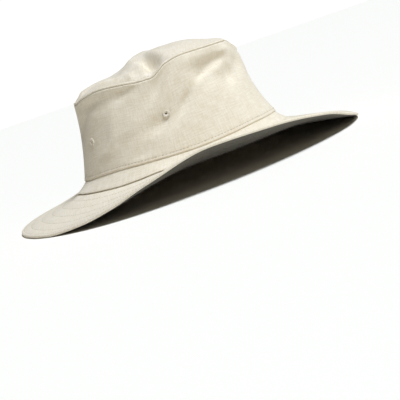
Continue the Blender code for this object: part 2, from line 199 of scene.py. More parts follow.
def linear_colour(code):
    """Linear RGB of an sRGB hex code."""
    channels = [int(code[i:i + 2], 16) / 255 for i in (1, 3, 5)]
    return tuple(c / 12.92 if c <= 0.04045 else ((c + 0.055) / 1.055) ** 2.4 for c in channels)


def metres(name, description, default):
    """A size that a user may change, in metres."""
    return FloatProperty(name=name, description=description, default=default, unit="LENGTH")


def hex_colour(name, description, code):
    """A colour that a user may change, given as its hex code."""
    return FloatVectorProperty(name=name, description=description, subtype="COLOR",
                               default=linear_colour(code))


class HatSizes(bpy.types.PropertyGroup):
    """Sizes of the hat, over the outside of the cloth."""

    crown_base_length: metres(
        "Crown base length", "Length of the oval at the foot of the crown", 0.202)
    crown_base_width: metres(
        "Crown base width", "Width of the oval at the foot of the crown", 0.168)
    tip_length: metres("Tip length", "Length of the oval panel that closes the crown", 0.170)
    tip_width: metres("Tip width", "Width of the oval panel that closes the crown", 0.140)
    wall_height: metres("Wall height", "Height of the crown's wall", 0.080)
    wall_hollow: metres("Wall hollow", "How far the wall is drawn in half way up", 0.005)
    tip_rise: metres("Tip rise", "Height of the tip's crest over its seam", 0.0205)
    crown_forward: metres("Crown forward", "How far the crown sits forward on the band", 0.002)
    band_height: metres("Band height", "Height of the band between crown and brim", 0.0105)
    band_flare_ends: metres(
        "Band flare, ends", "How far the band stands out in front and behind", 0.0094)
    band_flare_sides: metres(
        "Band flare, sides", "How far the band stands out at the sides", 0.0084)
    brim_front_depth: metres("Brim depth, front", "Depth of the brim in front of the band", 0.0675)
    brim_side_depth: metres("Brim depth, sides", "Depth of the brim beside the band", 0.0676)
    brim_back_depth: metres("Brim depth, back", "Depth of the brim behind the band", 0.0635)
    brim_seam_height: metres(
        "Brim seam height", "Height of the seam of band and brim over the floor", 0.0210)
    brim_edge_lift: metres("Brim edge lift", "How far the brim's sides rise over its ends", 0.034)
    wall_cloth: metres("Crown cloth", "Thickness of the wall's and the tip's cloth", 0.0014)
    band_cloth: metres("Band cloth", "Thickness of the band", 0.0013)
    brim_top_cloth: metres("Upper brim cloth", "Thickness of the brim's upper layer", 0.0011)
    brim_under_cloth: metres("Under-brim cloth", "Thickness of the brim's under layer", 0.0010)
    layer_gap: metres("Layer gap", "Air between two layers that touch", 0.0003)
    seam_lap: metres("Seam lap", "How far one layer is tucked behind the next", 0.005)
    eyelet_radius: metres("Eyelet radius", "Radius of an eyelet's embroidered ring", 0.0038)
    eyelet_hole_radius: metres(
        "Eyelet hole radius", "Radius of the hole through an eyelet", 0.0012)


class HatColours(bpy.types.PropertyGroup):
    """Colours of the hat's cloths and threads."""

    drill: hex_colour("Drill", "Off-white of the cotton drill", "#f0eadc")
    drill_shade: hex_colour("Drill yarn shade", "Darker yarns of the cotton drill", "#ddd2ba")
    under_brim: hex_colour("Under-brim", "Dark olive cotton of the under-brim", "#665f50")
    under_brim_shade: hex_colour(
        "Under-brim yarn shade", "Darker yarns of the under-brim", "#4a483c")
    # The sewing thread is a little darker than the drill: partly its own colour, partly painted
    # shade of the furrows that the stitches sink into.
    thread: hex_colour("Thread", "Sewing thread of the stitches", "#d3c8b0")
    eyelet_thread: hex_colour("Eyelet thread", "Embroidery thread of the eyelets", "#f1e9d8")
    under_thread: hex_colour(
        "Under-brim thread", "Dark thread that shows under the brim", "#6b6a5e")
    floor: hex_colour("Floor", "Plain pale floor", "#fefbf3")


def sizes():
    return bpy.context.scene.hat_sizes


def colours():
    return bpy.context.scene.hat_colours


def mix(first, second, share):
    return first + (second - first) * share


def unit(vectors):
    return vectors / np.linalg.norm(vectors, axis=-1, keepdims=True)


def join(x, y, z):
    """Points from arrays of their coordinates, brought to one shape."""
    return np.stack(np.broadcast_arrays(x, y, z), axis=-1)


def hermite(start, start_slope, end, end_slope, share):
    """Cubic from start to end, with a slope at each end taken over the whole step."""
    square = share * share
    cube = square * share
    return (start * (2 * cube - 3 * square + 1) + start_slope * (cube - 2 * square + share)
            + end * (3 * square - 2 * cube) + end_slope * (cube - square))


def read_table(rows, column, places, period=0.0):
    """Smooth curve without overshoot through a column of a table, against its first column."""
    x = np.array([row[0] for row in rows], float)
    y = np.array([getattr(row, column) for row in rows], float)
    if period:
        places = (places - x[0]) % period + x[0]
        x = np.concatenate((x[-2:] - period, x, x[:2] + period))
        y = np.concatenate((y[-2:], y, y[:2]))
    places = np.clip(places, x[0], x[-1])
    step = np.diff(x)
    slope = np.diff(y) / step
    before = np.concatenate((slope[:1], slope))
    after = np.concatenate((slope, slope[-1:]))
    turning = before * after <= 0
    knot = np.where(turning, 0.0, 2 * before * after / np.where(turning, 1.0, before + after))
    i = np.clip(np.searchsorted(x, places, side="right") - 1, 0, len(step) - 1)
    share = (places - x[i]) / step[i]
    return hermite(y[i], knot[i] * step[i], y[i + 1], knot[i + 1] * step[i], share)


def dent_depth(along, across, dent, size):
    """How deep a dent is at points given from its middle."""
    turn = math.radians(dent.turn)
    lengthwise = (along * math.cos(turn) + across * math.sin(turn)) / (dent.length * size)
    crosswise = (across * math.cos(turn) - along * math.sin(turn)) / (dent.width * size)
    return dent.depth * size * np.exp(-lengthwise ** 2 - crosswise ** 2)


def wall_dents(dents, angle, share, radius):
    """How deep a table of dents is at points of the wall, given its mean radius there."""
    height = sizes().wall_height
    depth = 0.0
    for dent in dents:
        away = np.radians((np.degrees(angle) - dent.angle + 180) % 360 - 180)
        depth = depth + dent_depth(away * radius, (share - dent.height) * height, dent, height)
    return depth


def tip_dents(dents, angle, share, fade):
    """How deep a table of dents is at points of the tip, dying out by a power at its seam."""
    size = sizes()
    depth = 0.0
    for dent in dents:
        along = (share * np.cos(angle) - dent.along) * size.tip_length / 2
        across = (share * np.sin(angle) - dent.across) * size.tip_width / 2
        depth = depth + dent_depth(along, across, dent, size.tip_width)
    return depth * (1 - np.minimum(share, 1) ** fade)


def seam_centre():
    """How far forward the middle of the seam of band and brim lies."""
    return (sizes().brim_back_depth - sizes().brim_front_depth) / 2


def crown_centre():
    return seam_centre() + sizes().crown_forward


def base_radius():
    """Mean radius of the crown at its foot."""
    return (sizes().crown_base_length + sizes().crown_base_width) / 4


def brim_thickness():
    return sizes().brim_top_cloth + sizes().layer_gap + sizes().brim_under_cloth


def wall_point(angle, share):
    """Outside of the crown's wall, at angles and shares of its height."""
    size = sizes()
    degrees = np.degrees(angle)
    half_length = mix(size.crown_base_length, size.tip_length, share) / 2
    half_width = mix(size.crown_base_width, size.tip_width, share) / 2
    outward = unit(join(half_width * np.cos(angle), half_length * np.sin(angle), 0.0))
    hollow = size.wall_hollow * read_table(CROWN_ROWS, "hollow", degrees, 360)
    inset = (hollow * 4 * share * (1 - share)
             + wall_dents(WALL_DENTS, angle, share, (half_length + half_width) / 2))
    foot = (size.brim_seam_height * read_table(BRIM_ROWS, "seam", degrees, 360)
            + size.band_height * read_table(BRIM_ROWS, "band", degrees, 360))
    top = (size.brim_seam_height + size.band_height
           + size.wall_height * read_table(CROWN_ROWS, "seam", degrees, 360))
    place = join(crown_centre() + half_length * np.cos(angle), half_width * np.sin(angle),
                 mix(foot, top, share))
    return place - outward * inset[..., None]


def normals(surface, angle, place, step):
    """Directions out of a surface that is given by the angle and one more measure."""
    turn = surface(angle + SLOPE_STEP, place) - surface(angle - SLOPE_STEP, place)
    return unit(np.cross(turn, surface(angle, place + step) - surface(angle, place - step)))


def wall_normal(angle, share):
    return normals(wall_point, angle, share, SLOPE_STEP)


def inside_wall(angle, share):
    """Where the outer face of a layer lies that is tucked inside the wall."""
    return wall_point(angle, share) - wall_normal(angle, share) * (
        sizes().wall_cloth + sizes().layer_gap)


def band_point(angle, share):
    """Outside of the band, from its fold under the wall down to its lower edge."""
    size = sizes()
    top = inside_wall(angle, 0.0)
    top[..., 2] -= size.layer_gap
    height = size.brim_seam_height * read_table(BRIM_ROWS, "seam", np.degrees(angle), 360)
    half_length = size.crown_base_length / 2 + size.band_flare_ends
    half_width = size.crown_base_width / 2 + size.band_flare_sides
    foot = join(seam_centre() + half_length * np.cos(angle), half_width * np.sin(angle), height)
    return mix(top, foot, share)


def band_directions(angle):
    """Directions out of the band's face, and up along it."""
    up = unit(band_point(angle, 0.0) - band_point(angle, 1.0))
    turn = band_point(angle + SLOPE_STEP, 1.0) - band_point(angle - SLOPE_STEP, 1.0)
    return unit(np.cross(turn, up)), up


def inside_band(angle, rise):
    """Where the outer face of the brim lies under the band, so far up from the band's edge."""
    outward, up = band_directions(angle)
    gap = sizes().band_cloth + sizes().layer_gap
    return band_point(angle, 1.0) + up * rise - outward * gap


def brim_edge(angle):
    """Upper face of the brim at its edge."""
    size = sizes()
    depth = mix(size.brim_back_depth, size.brim_front_depth, (1 + np.cos(angle)) / 2)
    half_length = size.crown_base_length / 2 + size.band_flare_ends + depth
    half_width = size.crown_base_width / 2 + size.band_flare_sides + size.brim_side_depth
    lift = size.brim_edge_lift * read_table(BRIM_ROWS, "lift", np.degrees(angle), 360)
    return join(seam_centre() + half_length * np.cos(angle), half_width * np.sin(angle),
                brim_thickness() + lift)


# The brim along one line from the band to its edge: its two ends on the upper face, its depth
# in plan, and its slopes at the ends
BrimLine = namedtuple("BrimLine", "start end run inner outer")


def brim_lines(angle):
    start = inside_band(angle, 0.0)
    end = brim_edge(angle)
    run = np.linalg.norm((end - start)[..., :2], axis=-1)
    slopes = [read_table(BRIM_ROWS, name, np.degrees(angle), 360) for name in ("inner", "outer")]
    return BrimLine(start, end, run, *slopes)


def brim_point(line, distance):
    """Upper face of the brim, by the distance inwards from its edge."""
    share = 1 - distance / line.run
    place = mix(line.start, line.end, share[..., None])
    place[..., 2] = hermite(line.start[..., 2], line.inner * line.run, line.end[..., 2],
                            line.outer * line.run, share)
    return place


def tip_point(angle, share):
    """Outside of the tip, at shares of the way from its middle to its seam."""
    inner_share = np.minimum(share, 1.0)
    along = inner_share * np.cos(angle)
    reach = np.sqrt(np.maximum(1 - along * along, 1e-12))
    across = np.clip(inner_share * np.sin(angle) / reach, -1, 1)
    slant = np.arccos(np.clip(along, -1, 1))
    left = inside_wall(slant, 1.0)[..., 2]
    right = inside_wall(-slant, 1.0)[..., 2]
    crest = sizes().tip_rise * read_table(CREST_ROWS, "rise", along)
    height = mix(right, left, (1 + across) / 2)
    height = height + crest * (1 - np.abs(across) ** CREST_ROUNDNESS)
    height = height - tip_dents(TIP_DENTS, angle, inner_share, TIP_DENT_FADE)
    seam = inside_wall(angle, 1.0)
    height = np.where(inner_share >= 1, seam[..., 2], height)
    return join(mix(crown_centre(), seam[..., 0], share), seam[..., 1] * share, height)


def column_angles():
    """Angles of the columns of facets, with the first one once more at the end."""
    return np.linspace(0, 2 * math.pi, COLUMNS + 1)


def rows_between(start, end, stitch_rows=(), spacing=ROW_SPACING):
    """Distances for rows of facets, evenly spread between fixed ones at the rows of stitches."""
    fixed = [start, *[row for row in stitch_rows if start < row < end], end]
    rows = []
    for low, high in zip(fixed, fixed[1:]):
        steps = max(2, round((high - low) / spacing))
        rows.extend(mix(low, high, k / steps) for k in range(steps))
    return rows + [end]


def bend_grid(rings, threads=None):
    """A cloth panel: a flat grid bent through rings of points that meet at its ends.
    The rings run from the panel's lower or outer edge up or inwards, which turns its face out.
    The threads' two coordinates at its points, in metres, follow its plan where none are given."""
    rings = np.array(rings)
    rows = len(rings) - 1
    warp, weft = threads or (rings[..., 0], rings[..., 1])
    cloth = bmesh.new()
    weave = cloth.loops.layers.uv.new("Weave")
    bmesh.ops.create_grid(cloth, x_segments=COLUMNS, y_segments=rows, size=0.5, calc_uvs=True)
    cloth.verts.index_update()
    places = [(round((vertex.co.y + 0.5) * rows), round((vertex.co.x + 0.5) * COLUMNS))
              for vertex in cloth.verts]
    for vertex, place in zip(cloth.verts, places):
        vertex.co = rings[place]
    for face in cloth.faces:
        for loop in face.loops:
            place = places[loop.vert.index]
            loop[weave].uv = (warp[place], weft[place])
    return cloth


def add_object(name, shape, material):
    """Make an object of a shape, in place in the hat's own frame."""
    mesh = bpy.data.meshes.new(name)
    shape.to_mesh(mesh)
    shape.free()
    mesh.shade_smooth()
    mesh.materials.append(material)
    added = bpy.data.objects.new(name, mesh)
    bpy.context.scene.collection.objects.link(added)
    return added


def finish_piece(name, shape, material, nodes=()):
    """Add a piece that rides on the hat and the solids that it takes over from."""
    piece = add_object(name, shape, material)
    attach(piece, "root")
    if nodes:
        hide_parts(*nodes)
    return piece


def finish_panel(node, cloth, material, thickness, folded=()):
    """Make a panel the piece for a node: sew up its ends and thicken it inwards. Where its edge
    is folded, its first rings have shares of the thickness."""
    if folded:
        thinned = cloth.verts.layers.deform.verify()
        for vertex in cloth.verts:
            ring = vertex.index // (COLUMNS + 1)
            vertex[thinned][0] = folded[ring] if ring < len(folded) else 1.0
    bmesh.ops.remove_doubles(cloth, verts=cloth.verts[:], dist=1e-6)
    bmesh.ops.dissolve_degenerate(cloth, dist=1e-7, edges=cloth.edges[:])
    panel = finish_piece(node + "_cloth", cloth, material, [node])
    solidify = panel.modifiers.new("cloth", "SOLIDIFY")
    solidify.thickness = thickness
    solidify.offset = -1
    solidify.use_rim = True
    solidify.use_even_offset = not folded
    if folded:
        panel.vertex_groups.new(name="cloth")
        solidify.vertex_group = "cloth"


def add_node(tree, kind, inputs=(), **settings):
    """Add a node with its settings, and set or link its inputs."""
    node = tree.nodes.new(kind)
    for name, value in settings.items():
        setattr(node, name, value)
    for socket, value in dict(inputs).items():
        if isinstance(value, bpy.types.NodeSocket):
            tree.links.new(value, node.inputs[socket])
        else:
            node.inputs[socket].default_value = value
    return node


def new_material(name):
    """A material without nodes, and its tree."""
    material = bpy.data.materials.new(name)
    material.use_nodes = True
    material.node_tree.nodes.clear()
    return material, material.node_tree


def finish_material(tree, factor, dark, light, relief, look):
    """Tint a material between two shades, and give it relief and the other sockets of its look.
    The mix node's sockets 6 and 7 are its two colours."""
    tint = add_node(tree, "ShaderNodeMix", {"Factor": factor, 6: (*dark, 1), 7: (*light, 1)},
                    data_type="RGBA")
    bump = add_node(tree, "ShaderNodeBump", relief)
    surface = add_node(tree, "ShaderNodeBsdfPrincipled",
                       {"Base Color": tint.outputs[2], "Normal": bump.outputs["Normal"], **look})
    add_node(tree, "ShaderNodeOutputMaterial", {"Surface": surface.outputs["BSDF"]})


# How a woven cloth looks: pitch of its twill lines, size of its yarns' slubs along and across,
# size of its soft patches, all in metres, and how strongly each shows. The twill is drawn about
# twice as coarse as the real one, so that it shows.
Weave = namedtuple("Weave", "twill slub_long slub_short patch twill_shade patch_shade relief")
DRILL = Weave(0.0012, 0.0095, 0.0012, 0.021, 0.18, 0.38, 0.00018)
UNDER_COTTON = Weave(0.0012, 0.0060, 0.0010, 0.030, 0.20, 0.20, 0.00012)
# Pitch of the wave texture's diagonal bands at a scale of 1
WAVE_PITCH = 0.444
# Sum of twill, yarns and patches at which a cloth is darkest and lightest, and what is taken off
# for the yarns, which run both ways
DARKEST, LIGHTEST = 0.45, 1.25
YARN_MEAN = 0.5
# Length of the plies that show in a thread, and how dark the dips between them are
PLY_LENGTH = 0.000714
PLY_SHADE = 0.72


def woven_material(name, colour, shade, weave, roughness, sheen):
    """Cloth whose twill lines, thick and thin yarns and soft patches show in colour and relief."""
    material, tree = new_material(name)
    uv = add_node(tree, "ShaderNodeUVMap", uv_map="Weave").outputs["UV"]
    place = add_node(tree, "ShaderNodeTexCoord").outputs["Object"]
    twill = add_node(tree, "ShaderNodeTexWave",
                     {"Vector": uv, "Scale": WAVE_PITCH / weave.twill, "Distortion": 1.2,
                      "Detail": 2.0, "Detail Scale": 1.0},
                     bands_direction="DIAGONAL")
    patches = add_node(tree, "ShaderNodeTexNoise",
                       {"Vector": place, "Scale": 1 / weave.patch, "Detail": 3.0})
    total = -YARN_MEAN
    for lengths in ((weave.slub_long, weave.slub_short), (weave.slub_short, weave.slub_long)):
        stretched = add_node(tree, "ShaderNodeMapping",
                             {"Vector": uv, "Scale": (1 / lengths[0], 1 / lengths[1], 1)})
        yarns = add_node(tree, "ShaderNodeTexNoise",
                         {"Vector": stretched.outputs["Vector"], "Scale": 1.0, "Detail": 2.0})
        total = add_node(tree, "ShaderNodeMath", {0: yarns.outputs["Fac"], 1: total},
                         operation="ADD").outputs[0]
    for texture, strength in ((twill, weave.twill_shade), (patches, weave.patch_shade)):
        total = add_node(tree, "ShaderNodeMath",
                         {0: texture.outputs["Fac"], 1: strength, 2: total},
                         operation="MULTIPLY_ADD").outputs[0]
    shading = add_node(tree, "ShaderNodeMapRange",
                       {"Value": total, "From Min": DARKEST, "From Max": LIGHTEST})
    finish_material(tree, shading.outputs["Result"], shade, colour,
                    {"Height": total, "Strength": 0.6, "Distance": weave.relief},
                    {"Roughness": roughness, "Sheen Weight": sheen, "Sheen Roughness": 0.5,
                     "Specular IOR Level": 0.25})
    return material


def drill_material():
    """Cotton drill, woven in twill and washed: matt, with a fine slubby grain and a slight nap."""
    made = bpy.data.materials.get("cotton_drill_woven")
    return made or woven_material("cotton_drill_woven", colours().drill, colours().drill_shade,
                                  DRILL, roughness=0.92, sheen=0.15)


def under_brim_material():
    """Dyed cotton, plainly woven: dark olive and dull, so that little light comes back from it."""
    return woven_material("dyed_cotton_woven", colours().under_brim, colours().under_brim_shade,
                          UNDER_COTTON, roughness=0.95, sheen=0.10)


def thread_material(name, colour, roughness):
    """Spun cotton thread: fine hairs break up its gloss, and its plies show as slight shade."""
    material, tree = new_material(name)
    place = add_node(tree, "ShaderNodeTexCoord").outputs["Object"]
    plies = add_node(tree, "ShaderNodeTexNoise",
                     {"Vector": place, "Scale": 1 / PLY_LENGTH, "Detail": 2.0}).outputs["Fac"]
    finish_material(tree, plies, [channel * PLY_SHADE for channel in colour], colour,
                    {"Height": plies, "Strength": 0.5, "Distance": 0.0001},
                    {"Roughness": roughness, "Sheen Weight": 0.2, "Specular IOR Level": 0.3})
    return material


# Relief of the sewn cloth: how far a folded edge stands out, how that dies out, as a power, how
# far its rim drops as a share of it and how quickly, and how deep and wide its stitches sink in
FOLD_PUFF = 0.00045
FOLD_TAPER = 1.5
FOLD_RIM_DROP = 2.6
FOLD_ROUNDING = 0.0007
STITCH_SINK = 0.00018
STITCH_SINK_WIDTH = 0.0008
# How the brim swells between its rows of stitches: how far, from which spacing of the rows on,
# how full the swell is, as a power, how uneven, and by how many radians a metre its lumps slant;
# and the least width of the innermost swell
QUILT_PUFF = 0.00040
QUILT_FULL_SPACING = 0.008
QUILT_FULLNESS = 0.6
QUILT_UNEVENNESS = 0.25
QUILT_SLANT = 420
QUILT_LEAST_WIDTH = 0.002
# The small gathers that a seam draws in: their height and unevenness, how far they reach from
# the stitches and from the tip's seam, how far over the wall's top the latter start, and how
# they are turned along the tip's seam and the band
PUCKER_HEIGHT = 0.00016
PUCKER_UNEVENNESS = 0.4
PUCKER_REACH = 0.004
TIP_PUCKER_REACH = 0.006
TIP_PUCKER_START = 0.001
TIP_PUCKER_TURN = 0.4
BAND_PUCKER_TURN = 0.9


def wavering(angle, crests, shift, shift_crests, phase=0.0):
    """A wave round the hat, with its crests shifted to and fro by a slower one."""
    return np.sin(crests * angle + shift * np.sin(shift_crests * angle) + phase)


def stitch_sink(distance):
    """Furrow along a row of stitches, by the distance from it."""
    return STITCH_SINK * np.exp(-(distance / STITCH_SINK_WIDTH) ** 2)


def fold_relief(distance, width):
    """Height of a folded edge over the cloth behind it, rising towards its rounded rim."""
    share = np.clip(distance / width, 0, 1)
    rim = np.exp(-distance / FOLD_ROUNDING)
    return FOLD_PUFF * (1 - share ** FOLD_TAPER - FOLD_RIM_DROP * rim) - stitch_sink(
        distance - width)


def pucker(angle, distance, reach=PUCKER_REACH):
    """Small gathers that a seam's stitches draw in the cloth, dying out over a reach."""
    wave = wavering(angle, crests=88, shift=2.1, shift_crests=5, phase=1.3 * np.sin(13 * angle))
    strength = wavering(angle, crests=9, shift=1.7, shift_crests=4)
    strength = mix(1.0, strength, PUCKER_UNEVENNESS)
    return PUCKER_HEIGHT * wave * strength * np.exp(-distance / reach)


def quilt_relief(angle, distance, run):
    """How the brim swells between its rows of stitches, and on to the band."""
    edges = [0.0, *BRIM_STITCH_ROWS]
    last = edges[-1]
    swells = [(low, high - low, min(1.0, (high - low) / QUILT_FULL_SPACING))
              for low, high in zip(edges, edges[1:])]
    puff = 0.0
    for start, width, strength in (*swells, (last, np.maximum(run - last, QUILT_LEAST_WIDTH), 1.0)):
        share = np.clip((distance - start) / width, 0, 1)
        puff = puff + np.sin(math.pi * share) ** QUILT_FULLNESS * strength
    lumps = wavering(angle, crests=61, shift=3, shift_crests=7, phase=distance * QUILT_SLANT)
    lumps = mix(1.0, lumps, QUILT_UNEVENNESS)
    return QUILT_PUFF * puff * lumps


def soft_folds(angle, share):
    """Depth of the small folds in the wall, dying out towards its seams."""
    depth = wall_dents(SOFT_FOLDS, angle, share, base_radius())
    for margin in (share / FOLDS_FOOT_MARGIN, (1 - share) / FOLDS_TOP_MARGIN):
        margin = np.clip(margin, 0, 1)
        depth = depth * margin * margin * (3 - 2 * margin)
    return depth


# Rows of facets that round off the folded foot of the wall, and those at its stitches
WALL_FOOT_ROWS = (0.0003, 0.0007, 0.0012, WALL_STITCH_ROW, WALL_STITCH_ROW + BESIDE_STITCHES)


def make_crown_wall():
    """The wall of the crown: one strip of drill, folded at its foot and pierced by the eyelets."""
    size = sizes()
    angle = column_angles()
    up = rows_between(0.0, size.wall_height, WALL_FOOT_ROWS)
    rings = []
    for distance in up:
        share = distance / size.wall_height
        relief = fold_relief(distance, WALL_STITCH_ROW) - soft_folds(angle, share)
        relief = relief + pucker(angle, abs(distance - WALL_STITCH_ROW))
        from_top = size.wall_height - distance + TIP_PUCKER_START
        relief = relief + pucker(angle + TIP_PUCKER_TURN, from_top, TIP_PUCKER_REACH)
        rings.append(wall_point(angle, share) + wall_normal(angle, share) * relief[:, None])
    cloth = bend_grid(rings, np.meshgrid(angle * base_radius(), up))
    pierce_for_eyelets(cloth)
    finish_panel("crown_wall", cloth, drill_material(), size.wall_cloth)


# How far the cloth reaches in under an eyelet's ring, as a share of the ring's width
EYELET_CLOTH_SHARE = 0.45


def pierce_for_eyelets(cloth):
    """Open the wall at each eyelet, under its embroidered ring."""
    barrel = mix(sizes().eyelet_hole_radius, sizes().eyelet_radius, EYELET_CLOTH_SHARE)
    pierced = set()
    for eyelet in EYELETS:
        middle = eyelet_frame(eyelet).translation
        pierced.update(f for f in cloth.faces if (f.calc_center_median() - middle).length < barrel)
    bmesh.ops.delete(cloth, geom=list(pierced), context="FACES")


# The tip's folded edge over the wall: inward from the wall's face, up from the seam,
# and the share of the cloth's thickness that is left in the fold
TIP_FOLD = table(
    "inward up cloth",
    (0.0007, 0.0003, 0.35), (0.0003, 0.0006, 0.35), (0.0001, 0.0011, 0.40),
    (0.0003, 0.0017, 0.50), (0.0007, 0.0021, 0.60), (0.0013, 0.0025, 0.80),
)
# Share of the cloth's thickness at the foot and the top of the tip's edge inside the wall
TIP_EDGE_CLOTH = (1.0, 0.6)
# How far in the tip's rows follow its seam, and the rows of its middle, as shares of the way out
TIP_ROWS_REACH = 0.066
TIP_MIDDLE_ROWS = (0.8, 0.6, 0.4, 0.2, 0.0)

# The raised welt that the tip's seam allowance makes, inwards from the seam: fullest at the
# back of the hat, and lower in front
WELT_HEIGHT = 0.0021
WELT_WIDTH = 0.0068
WELT_IN_FRONT = 0.12
WELT_START = 0.0019


def welt_relief(angle, distance):
    """Height of the welt, with the furrow of its stitches, by the distance inwards."""
    share = np.clip(distance / WELT_WIDTH, 0, 1)
    fullness = mix(1.0, WELT_IN_FRONT, (1 + np.cos(angle)) / 2)
    welt = fullness * WELT_HEIGHT * (1 - share ** 2) ** FOLD_TAPER
    return welt - stitch_sink(distance - TIP_STITCH_ROW)


def creased_tip(angle, share):
    """The tip with its small creases, at shares of the way from its middle to its seam."""
    ring = tip_point(angle, share)
    ring[:, 2] -= tip_dents(TIP_CREASES, angle, share, TIP_CREASE_FADE)
    return ring


def tip_share(angle, distance):
    """Share of the way out at which the tip is a distance inwards from the wall's face."""
    tucked = inside_wall(angle, 1.0)
    radius = np.hypot(tucked[:, 0] - crown_centre(), tucked[:, 1])
    return np.clip(1 - (distance - sizes().wall_cloth - sizes().layer_gap) / radius, 0, None)


def tip_from_seam(angle, distance):
    """The tip's surface with its welt, by the distance inwards from the wall's face."""
    ring = creased_tip(angle, tip_share(angle, distance))
    ring[:, 2] += welt_relief(angle, distance) + pucker(angle, distance, TIP_PUCKER_REACH)
    return ring


def make_crown_tip():
    """The tip: an oval panel of drill whose edge is folded over the wall and stitched down."""
    size = sizes()
    angle = column_angles()
    seam = wall_point(angle, 1.0)
    outward = unit(join(seam[:, 0] - crown_centre(), seam[:, 1], 0.0))
    rings = [inside_wall(angle, 1 - size.seam_lap / size.wall_height), inside_wall(angle, 1.0)]
    for row in TIP_FOLD:
        ring = seam - outward * row.inward
        ring[:, 2] = seam[:, 2] + row.up
        rings.append(ring)
    beside = [TIP_STITCH_ROW + step for step in (-BESIDE_STITCHES, 0, BESIDE_STITCHES)]
    inward = rows_between(WELT_START, TIP_ROWS_REACH, (*beside, WELT_WIDTH + BESIDE_STITCHES))
    rings += [tip_from_seam(angle, distance) for distance in inward]
    last_share = tip_share(angle, inward[-1])
    rings += [creased_tip(angle, last_share * part) for part in TIP_MIDDLE_ROWS]
    finish_panel("crown_tip", bend_grid(rings), drill_material(),
                 size.wall_cloth, [*TIP_EDGE_CLOTH, *[row.cloth for row in TIP_FOLD]])


# Rows of the band from its lower edge up, as shares of its height, and of its lap in the wall
BAND_ROWS = (0.0, 0.03, 0.07, 0.14, 0.25, 0.38, 0.52, 0.66, 0.80, 0.92, 1.0)
BAND_LAP_ROWS = (0.35, 1.0)
# Width of the band's folded edge as a share of its height, and how much of a fold's relief it has
BAND_FOLD_SHARE = 0.30
BAND_FOLD_RELIEF = 0.5
# How far the band swells out right under the foot of the wall, dying out by a power downwards
BAND_SWELL = 0.0009
BAND_SWELL_FADE = 4


def make_hat_band():
    """The band: a plain strip of drill that flares from under the wall down over the brim."""
    size = sizes()
    angle = column_angles()
    outward = band_directions(angle)[0]
    length = np.linalg.norm(band_point(angle, 0.0) - band_point(angle, 1.0), axis=-1).mean()
    rings = []
    for share in BAND_ROWS:
        distance = share * length
        relief = fold_relief(distance, BAND_FOLD_SHARE * length) * BAND_FOLD_RELIEF
        relief = relief + BAND_SWELL * share ** BAND_SWELL_FADE
        relief = relief + pucker(angle + BAND_PUCKER_TURN, distance)
        rings.append(band_point(angle, 1 - share) + outward * relief[:, None])
    laps = np.array(BAND_LAP_ROWS) * size.seam_lap
    rings += [inside_wall(angle, lap / size.wall_height) for lap in laps]
    up = np.concatenate((np.array(BAND_ROWS) * length, length + laps))
    cloth = bend_grid(rings, np.meshgrid(angle * base_radius(), up))
    finish_panel("hat_band", cloth, drill_material(), size.band_cloth)


# The brim's turned edge, from under the brim round to its upper face: inwards from the edge,
# down from the upper face as a share of the brim's thickness, and the share of the cloth's
# thickness that is left in the turn
BRIM_TURN = table(
    "inward down cloth",
    (0.0023, 0.985, 0.55), (0.0014, 0.995, 0.50), (0.0007, 0.975, 0.45),
    (0.0002, 0.83, 0.40), (0.0000, 0.58, 0.40), (0.0001, 0.30, 0.50),
    (0.0005, 0.09, 0.70),
)
# Where the flat rows of the two layers start, how many rows of facets lie from the innermost
# stitches to the band, and the rows of the tuck under it as shares of its lap
BRIM_TOP_START = 0.0012
UNDER_BRIM_START = 0.0026
INNER_BRIM_ROWS = 5
BRIM_TUCK_ROWS = (0.4, 1.0)
# How far the under-brim swells downwards between the stitches, as a share of the upper layer
UNDER_BRIM_PUFF = -0.5


def turn_along(points):
    """Steps along a closed line of points whose last one is the first once more."""
    step = np.roll(points[:-1], -1, axis=0) - np.roll(points[:-1], 1, axis=0)
    return np.concatenate((step, step[:1]))


def brim_upward(line, distance):
    """Directions out of the brim's upper face."""
    across = (brim_point(line, distance + BRIM_SLOPE_STEP)
              - brim_point(line, distance - BRIM_SLOPE_STEP))
    return unit(np.cross(turn_along(brim_point(line, distance)), across))


def brim_from_edge(line, distance, lift):
    """Points over the brim's upper face, by the distance inwards from its edge."""
    lift = np.broadcast_to(lift, line.run.shape)
    return brim_point(line, distance) + brim_upward(line, distance) * lift[:, None]


def brim_rows(start):
    """Distances of a brim layer's rows from its edge, up to the innermost row of stitches."""
    beside = [row + step for row in BRIM_STITCH_ROWS
              for step in (-BESIDE_BRIM_STITCHES, 0, BESIDE_BRIM_STITCHES)]
    return rows_between(start, beside[-1], beside, BRIM_ROW_SPACING)


def tucked_brim(angle, line, depth, swell):
    """Rings of a brim layer from its innermost row of stitches to its tuck under the band."""
    start = BRIM_STITCH_ROWS[-1] + BESIDE_BRIM_STITCHES
    rings = []
    for k in range(1, INNER_BRIM_ROWS + 1):
        distance = mix(start, line.run, k / INNER_BRIM_ROWS)
        relief = quilt_relief(angle, distance, line.run) * swell - depth
        rings.append(brim_from_edge(line, distance, relief))
    outward = band_directions(angle)[0]
    return rings + [inside_band(angle, share * sizes().seam_lap) - outward * depth
                    for share in BRIM_TUCK_ROWS]


def make_brim_top():
    """The brim's upper layer: drill that is turned over the edge and quilted by its stitches."""
    angle = column_angles()
    line = brim_lines(angle)
    rings = [brim_from_edge(line, row.inward, -row.down * brim_thickness()) for row in BRIM_TURN]
    for distance in brim_rows(BRIM_TOP_START):
        rings.append(brim_from_edge(line, distance, quilt_relief(angle, distance, line.run)))
    cloth = bend_grid(rings + tucked_brim(angle, line, 0.0, 1.0))
    finish_panel("brim_top", cloth, drill_material(), sizes().brim_top_cloth,
                 [row.cloth for row in BRIM_TURN])


